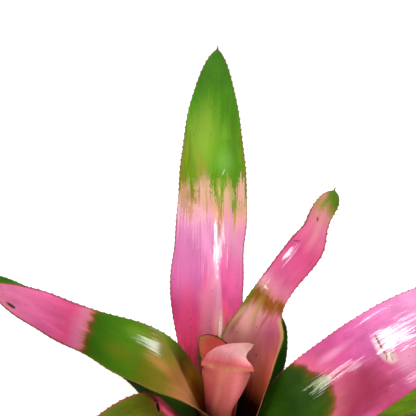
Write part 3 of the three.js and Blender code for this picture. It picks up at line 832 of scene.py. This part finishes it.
# The narrow leaf that leans to the upper right. Its tip is a small green hood with a long point, and
# an olive band crosses it where it comes free of the heart.
add_leaf(
    dict(
        name="narrow_leaf", node="leaf_03", order=2, azimuth=36.5, length=238, width=48, taper=9,
        opens=(60, 120), channel=40,
        shape=[
            (0, 0.5), (30, 0.85), (60, 0.95), (95, 1.22), (120, 0.72), (150, 0.57), (184, 0.6), (204, 0.38),
            (238, 0.52),
        ],
        rise=[(0, 72), (30, 66), (55, 77), (85, 88), (108, 62), (135, 47), (184, 53), (210, 54), (238, 54)],
        lean=[(0, 0), (60, -1), (110, -18), (150, 6), (184, 7), (204, -13), (220, 8), (238, -22)],
        twist=[(0, 0), (60, 0), (95, 20), (120, 45), (150, 53), (238, 50)],
    ),
    "young_leaf",
    bands=[
        # The near-black colours up to 46 mm are painted shade deep inside the sheath.
        (0, "#080202", "#080202"), (46, "#1c0604", "#2c0806"), (60, "#883428", "#b3512e"),
        (76, "#e0786c", "#ea6d50"), (98, "#f08c8c", "#fa7d80"), (110, "#f4a8a0", "#f07c98"),
        (120, "#eeb0a8", "#e47c8c"), (125, "#bc7c50", "#b06048"), (129, "#995e1f", "#95521f"),
        (134, "#955a1b", "#9e5624"), (138, "#d8887c", "#d87880"), (144, "#ec90a8", "#e47c9c"),
        (154, "#e8669a", "#e05f8e"), (178, "#e85794", "#e45789"), (200, "#e87398", "#ec7ba0"),
        (214, "#dc8c88", "#dc9488"), (219, "#b89850", "#98843c"), (225, "#74982b", "#577114"),
        (238, "#4c7a28", "#4c7a28"),
    ],
    ragged=3.0,
    margin="#94503c",
    rim=[
        ("#6c7410", 4.0, 118, 138, -1, 0.95), ("#a49c2c", 3.0, 84, 122, -1, 0.8),
        ("#f0c874", 4.6, 78, 120, 1, 0.9), ("#a8304c", 1.5, 146, 214, 0, 0.8),
        ("#c88a4c", 2.6, 56, 84, 1, 0.9),
    ],
    tone=0.56,
    rubbed=[(172, -8.8, 5.5, 2.6, 0, 0.9), (142, -10.0, 4, 3.0, 0, 0.8)],
    blushes=[
        (122, -4.4, 14, 3.0, -4, "#b8904c", 0.8), (112, -16.5, 12, 2.6, -28, "#a86038", 0.7),
        # The salmon blush at 94 mm is painted light on a part that lies in shade, and the pale one at 110 mm
        # is a painted highlight.
        (94, 8.0, 12, 5.0, 0, "#ff8c84", 0.5), (110, -9.0, 14, 4.0, -12, "#fcb0a4", 0.7),
        (106, 11.0, 18, 6.0, 0, "#d8608c", 0.5), (200, 2.0, 18, 3.0, 0, "#f4a0a8", 0.5),
        # The dark red line at 118 mm is painted shade along the crease of the rolled sheath.
        (226, -6.0, 8, 3.4, 0, "#dc8c7c", 0.9), (118, 4.8, 15, 1.4, -16, "#ac4c44", 0.6),
    ],
    patches=[
        # These first three pale patches are painted highlights: the two streaks of the highlight near the
        # upper margin and a white glint lower down.
        (171, -8.8, 6, 1.7, 0, "#fff0f4", 0.5),
        (170, -5.0, 10, 0.7, 0, "#fcd0e0", 0.5), (140, -6.4, 1.0, 2.6, -10, "#fce8e0", 0.7),
        (126, 9.0, 10, 1.2, 0, "#b0703c", 0.6),
    ],
    scars=[
        (208, -0.9, 1.8, 0.8, 20, "#8a4a20", 0.9), (184.5, -9.0, 0.5, 3.2, 25, "#8a2c48", 0.95),
        (87, 0.5, 0.7, 0.7, 0, "#3a1414", 0.9),
    ],
)


# The two youngest leaves, still rolled into the heart. Thin and soft, salmon pink all through. The front one
# shows its back, and its top folds over away from the camera.
add_leaf(
    dict(
        name="folded_heart_leaf", node="leaf_02", order=1, azimuth=268, length=137, width=56, taper=9,
        opens=(60, 120), wave=0.2,
        channel=[(0, 26), (88, 24), (98, 28), (110, 150), (137, 150)],
        shape=[(0, 0.2), (25, 0.24), (55, 0.37), (75, 0.6), (94, 0.78), (106, 0.68), (118, 0.47), (137, 0.2)],
        rise=[
            (0, 84), (25, 77), (55, 77), (80, 85), (94, 92),
            (108, 160), (118, 178), (129, 174), (137, 120),
        ],
        lean=[(0, 0), (20, 7), (45, 7), (64, -12), (80, -8), (94, -5), (106, -12), (124, -60), (137, -70)],
    ),
    "heart_leaf",
    bands=[
        # The near-black root and the dark band near 104 mm are painted shade, at the heart and along the
        # fold; the paler bands from 108 to 124 mm are painted light on the lid that the fold turns up.
        (0, "#2a0904", "#2a0904"), (48, "#6d2e23", "#470d07"), (62, "#90423c", "#5c0c08"),
        (78, "#9c4b4b", "#7b2420"), (92, "#a1524e", "#8e3a36"), (101, "#9d5346", "#904239"),
        (104, "#aa4148", "#a03e41"), (108, "#d6787f", "#cb6f73"), (115, "#f9b6b9", "#f6a7af"),
        (124, "#f9c4bc", "#f9b0b0"), (131, "#d79390", "#d79393"), (134, "#a7a082", "#a7a082"),
        (137, "#c2c8ad", "#c2c8ad"),
    ],
    tone=0.85,
    ragged=1.0,
    divide=(4.0, 0.0, 12.0),
    margin="#6a2c1c",
    under="#e08078",
    under_share=0.12,
    scaly=0.05,
    specks=0.3,
    patches=[
        (100, 12.5, 2.0, 2.2, 0, "#937233", 0.45), (99.5, 0.0, 2.4, 1.8, 0, "#886728", 0.6),
        (100, -5.5, 1.6, 1.0, 0, "#937233", 0.4), (101, -9.5, 2.0, 1.4, 0, "#81672f", 0.55),
    ],
    blushes=[(78, 4.0, 24, 2.4, 0, "#9b6349", 0.4), (82, -9.0, 20, 4.0, 0, "#d6727d", 0.4)],
)
add_leaf(
    dict(
        name="back_heart_leaf", node="leaf_01", order=0, azimuth=105, length=112, width=32, taper=14,
        opens=(45, 90), channel=30, wave=0.1,
        shape=[(0, 0.4), (30, 0.6), (60, 0.9), (80, 0.96), (112, 1)],
        rise=[(0, 88), (50, 84), (85, 84), (112, 82)],
        lean=[(0, 0), (50, 0), (85, -23), (112, -52)],
    ),
    "heart_leaf",
    bands=[
        # The dark colour at the root is painted shade deep in the heart.
        (0, "#3a1008", "#3a1008"), (40, "#983c34", "#983c34"), (76, "#cc4649", "#cc4649"),
        (96, "#c14a40", "#b9463d"), (104, "#a0503c", "#a0503c"), (112, "#5a5a24", "#5a5a24"),
    ],
    ragged=1.5,
    margin="#3c2c10",
    tone=0.95,
    rim=[("#4c3814", 1.4, 60, 112, 0, 0.9), ("#5c5a1c", 3.6, 78, 98, -1, 0.7)],
)


# The low leaf at the front left, older and half greened: olive with a pink base and a worn brown margin, and
# a near-black mark of two strokes near its crest.
add_leaf(
    dict(
        name="front_left_leaf", node="leaf_07", order=6, azimuth=222, length=230, width=52, taper=32,
        opens=(40, 90), channel=60,
        shape=[(0, 0.5), (40, 0.9), (80, 1), (230, 1)],
        rise=[(0, 70), (40, 66), (75, 48), (105, 12), (140, -12), (230, -30)],
        twist=[(0, 0), (60, 0), (110, -10), (230, 0)],
    ),
    "old_leaf",
    bands=[
        # The near-black colour at the root is painted shade deep in the rosette.
        (0, "#200806", "#200806"), (60, "#c03040", "#d83c54"), (84, "#f0587c", "#f05478"),
        (91, "#7a4a28", "#7a4020"), (97, "#4e4c0c", "#54500e"), (112, "#566010", "#5c640e"),
        (140, "#5c741c", "#5c741c"), (190, "#5c7c20", "#5c7c20"), (215, "#7a7a34", "#7a7a34"),
        (230, "#6a5a34", "#6a5a34"),
    ],
    ragged=2.2,
    margin="#8a5424",
    mottle=0.2,
    tone=0.9,
    rim=[("#8c4030", 2.2, 90, 200, 0, 0.85), ("#9c3a40", 2.0, 50, 90, 0, 0.6)],
    scars=[(91.5, 12.5, 1.5, 7.0, -31, "#0c0603", 1.0), (90, 19.0, 1.8, 1.0, 0, "#0c0603", 1.0)],
)


# The oldest leaves, at the bottom of the rosette. Grown in deeper shade, they are green nearly all over, with
# olive and bleached patches, dull pink sheaths and dry tips, and they droop towards the ground.
OLD_LEAVES = [
    dict(
        name="low_right_leaf", node="leaf_08", order=7, azimuth=14, length=240, width=54, taper=34,
        opens=(40, 90), channel=70, shape=[(0, 0.5), (25, 0.47), (50, 0.7), (80, 0.95), (240, 1)],
        rise=[(0, 60), (25, 37), (60, 12), (110, 4), (240, -14)],
    ),
    dict(
        name="strip_leaf_behind_left", node="leaf_09", order=8, azimuth=160, length=256, width=48, taper=34,
        opens=(40, 90), channel=60, shape=[(0, 0.5), (40, 0.9), (80, 0.9), (120, 0.8), (256, 0.84)],
        rise=[(0, 68), (40, 57), (80, 43), (130, 26), (256, 20)],
    ),
    dict(
        name="front_leaf", node="leaf_10", order=9, azimuth=287, length=220, width=54, taper=32,
        opens=(35, 80), channel=60,
        rise=[(0, 64), (30, 44), (65, 14), (105, -10), (160, -24), (220, -28)],
    ),
    dict(
        name="short_dark_leaf", node="leaf_11", order=10, azimuth=60, length=127, width=44, taper=20,
        opens=(35, 90), channel=50, shape=[(0, 0.4), (25, 0.6), (60, 0.88), (80, 1), (127, 1)],
        rise=[(0, 67), (40, 60), (80, 54), (127, 54)],
    ),
    dict(
        name="low_left_leaf", node="leaf_12", order=11, azimuth=200, length=210, width=56, taper=32,
        opens=(30, 70), channel=60,
        rise=[(0, 60), (30, 38), (60, 10), (100, -14), (150, -28), (210, -30)],
    ),
    dict(
        name="low_front_right_leaf", node="leaf_13", order=12, azimuth=335, length=225, width=56, taper=34,
        opens=(30, 70), channel=60,
        rise=[(0, 62), (30, 40), (60, 14), (110, -6), (165, -20), (225, -28)],
    ),
    dict(
        name="low_back_leaf", node="leaf_14", order=13, azimuth=117, length=210, width=56, taper=32,
        opens=(30, 70), channel=60,
        rise=[(0, 56), (25, 32), (55, 8), (100, -11), (150, -22), (210, -22)],
    ),
    dict(
        name="lowest_front_leaf", node="leaf_15", order=14, azimuth=255, length=205, width=56, taper=32,
        opens=(25, 60), channel=60,
        rise=[(0, 64), (25, 40), (55, 8), (95, -13), (150, -22), (205, -21)],
    ),
    dict(
        name="lowest_right_leaf", node="leaf_16", order=15, azimuth=32, length=205, width=54, taper=32,
        opens=(25, 60), channel=60,
        rise=[(0, 60), (25, 34), (55, 2), (95, -12), (150, -18), (205, -14)],
    ),
    dict(
        name="lowest_left_leaf", node="leaf_17", order=16, azimuth=170, length=195, width=54, taper=32,
        opens=(25, 60), channel=60,
        rise=[(0, 60), (25, 34), (55, 2), (95, -11), (150, -18), (195, -15)],
    ),
]
# The colours from the sheath to the tip, and those of the three leaves that look different.
OLD_COLOURS = ("#70342c", "#3c4c0e", "#486e16", "#54801e", "#8f8848")
OWN_COLOURS = {
    "leaf_08": ("#70342c", "#4c5c10", "#7ca41c", "#8cb828", "#8f8848"),
    # The greens of the leaf behind on the left are painted lighter to make up for the shade it lies in under
    # the left leaf: painted light.
    "leaf_09": ("#3c5c1c", "#3c6414", "#34640f", "#5cb024", "#4f7a24"),
    "leaf_11": ("#2a1c0a", "#142e06", "#1c440c", "#347018", "#4f7a24"),
}
for leaf in OLD_LEAVES:
    length = leaf["length"]
    leaf.setdefault("shape", [(0, 0.5), (40, 0.9), (80, 1), (length, 1)])
    sheath, lower, middle, upper, tip = OWN_COLOURS.get(leaf["node"], OLD_COLOURS)
    add_leaf(
        leaf,
        "old_leaf",
        bands=[
            (0, sheath, sheath), (0.16 * length, sheath, sheath), (0.3 * length, lower, lower),
            (0.5 * length, middle, middle), (0.8 * length, upper, upper), (0.93 * length, upper, middle),
            (length, tip, tip),
        ],
        ragged=5,
        margin="#84603a",
        mottle=0.2,
        tone=0.7,
        wander=20.0,
        specks=0.5,
    )


# The white sweep that the plant stands on, of matt paper with a faint grain, and far behind it a round white
# backdrop that only the camera sees, so that it adds no light.
SWEEP_SIZE = 20
BACKDROP_RADIUS = 12
paper = bpy.data.materials.new("white sweep")
paper.use_nodes = True
paper_tree = paper.node_tree
paper_shader = paper_tree.nodes["Principled BSDF"]
paper_grain = add(paper_tree, "TexNoise", {"Scale": 300.0})
paper_white = add(paper_tree, "ValToRGB", {0: paper_grain})
paper_white.node.color_ramp.elements[0].color = colour("#d4d4d2")
paper_white.node.color_ramp.elements[1].color = colour("#dadad9")
paper_tree.links.new(paper_white, paper_shader.inputs["Base Color"])
paper_shader.inputs["Roughness"].default_value = 0.9
paper_shader.inputs["Emission Color"].default_value = (1, 1, 1, 1)
paper_shader.inputs["Emission Strength"].default_value = 0.75


def add_stage(name, mesh):
    """Puts a finished bmesh into the scene as a part of its stage."""
    stage = add_object(name, mesh, paper)
    return stage


floor_mesh = bmesh.new()
bmesh.ops.create_grid(floor_mesh, x_segments=1, y_segments=1, size=SWEEP_SIZE)
add_stage("floor", floor_mesh)
dome_mesh = bmesh.new()
bmesh.ops.create_uvsphere(dome_mesh, u_segments=48, v_segments=24, radius=BACKDROP_RADIUS)
backdrop = add_stage("backdrop", dome_mesh)
backdrop.visible_diffuse = False
backdrop.visible_glossy = False
backdrop.visible_transmission = False
backdrop.visible_shadow = False


# Soft studio light: a dim white room, a large softbox overhead, and four narrow ones low round the front that
# the glossy places of the leaves mirror.
room = bpy.data.worlds.new("white room")
bpy.context.scene.world = room
room.use_nodes = True
room_light = room.node_tree.nodes["Background"]
room_light.inputs["Color"].default_value = (1, 1, 1, 1)
room_light.inputs["Strength"].default_value = 0.35


def add_softbox(name, centre_mm, azimuth, elevation, distance, width, height, brightness):
    """Hangs a softbox, sized in metres, out from a place on the plant and facing it."""
    turn, up = math.radians(azimuth), math.radians(elevation)
    aim = Vector((math.cos(turn) * math.cos(up), math.sin(turn) * math.cos(up), math.sin(up)))
    lamp = bpy.data.lights.new(name, "AREA")
    lamp.shape = "RECTANGLE"
    lamp.size, lamp.size_y = width, height
    lamp.energy = brightness * math.pi * width * height
    box = bpy.data.objects.new(name, lamp)
    bpy.context.collection.objects.link(box)
    box.location = Vector(centre_mm) * MM + aim * distance
    box.rotation_euler = aim.to_track_quat("Z", "Y").to_euler()
    box.visible_camera = False


add_softbox("front_left_softbox", (110, -10, 185), -134, 1, 1.1, 0.3, 0.34, 20.0)
add_softbox("right_softbox", (-55, 9, 137), -19, 34, 0.9, 0.44, 0.2, 9.5)
add_softbox("low_right_softbox", (48, 50, 190), -63, -8, 0.6, 0.1, 0.19, 15.0)
add_softbox("low_front_softbox", (-9, 60, 160), -97, -11, 0.5, 0.13, 0.11, 18.0)
add_softbox("top_softbox", (0, 0, 160), -100, 78, 1.8, 1.6, 1.6, 2.2)

# A camera with a long lens looks down on the plant at 28 degrees, from straight in front. A pixel of the
# photo's width is 0.72 mm on the plant.
SENSOR_WIDTH = 36.0
LENS_LENGTH = 108.17
CAMERA_ELEVATION = math.radians(28)
CAMERA_TARGET = Vector((-0.0144, 0, 0.264))
CAMERA_DISTANCE = 0.9
camera_data = bpy.data.cameras.new("camera")
camera_data.sensor_width = SENSOR_WIDTH
camera_data.lens = LENS_LENGTH
camera = bpy.data.objects.new("camera", camera_data)
bpy.context.collection.objects.link(camera)
toward_camera = Vector((0, -math.cos(CAMERA_ELEVATION), math.sin(CAMERA_ELEVATION)))
camera.location = CAMERA_TARGET + toward_camera * CAMERA_DISTANCE
camera.rotation_euler = (math.pi / 2 - CAMERA_ELEVATION, 0, 0)
bpy.context.scene.camera = camera
bpy.context.scene.view_settings.view_transform = "Standard"
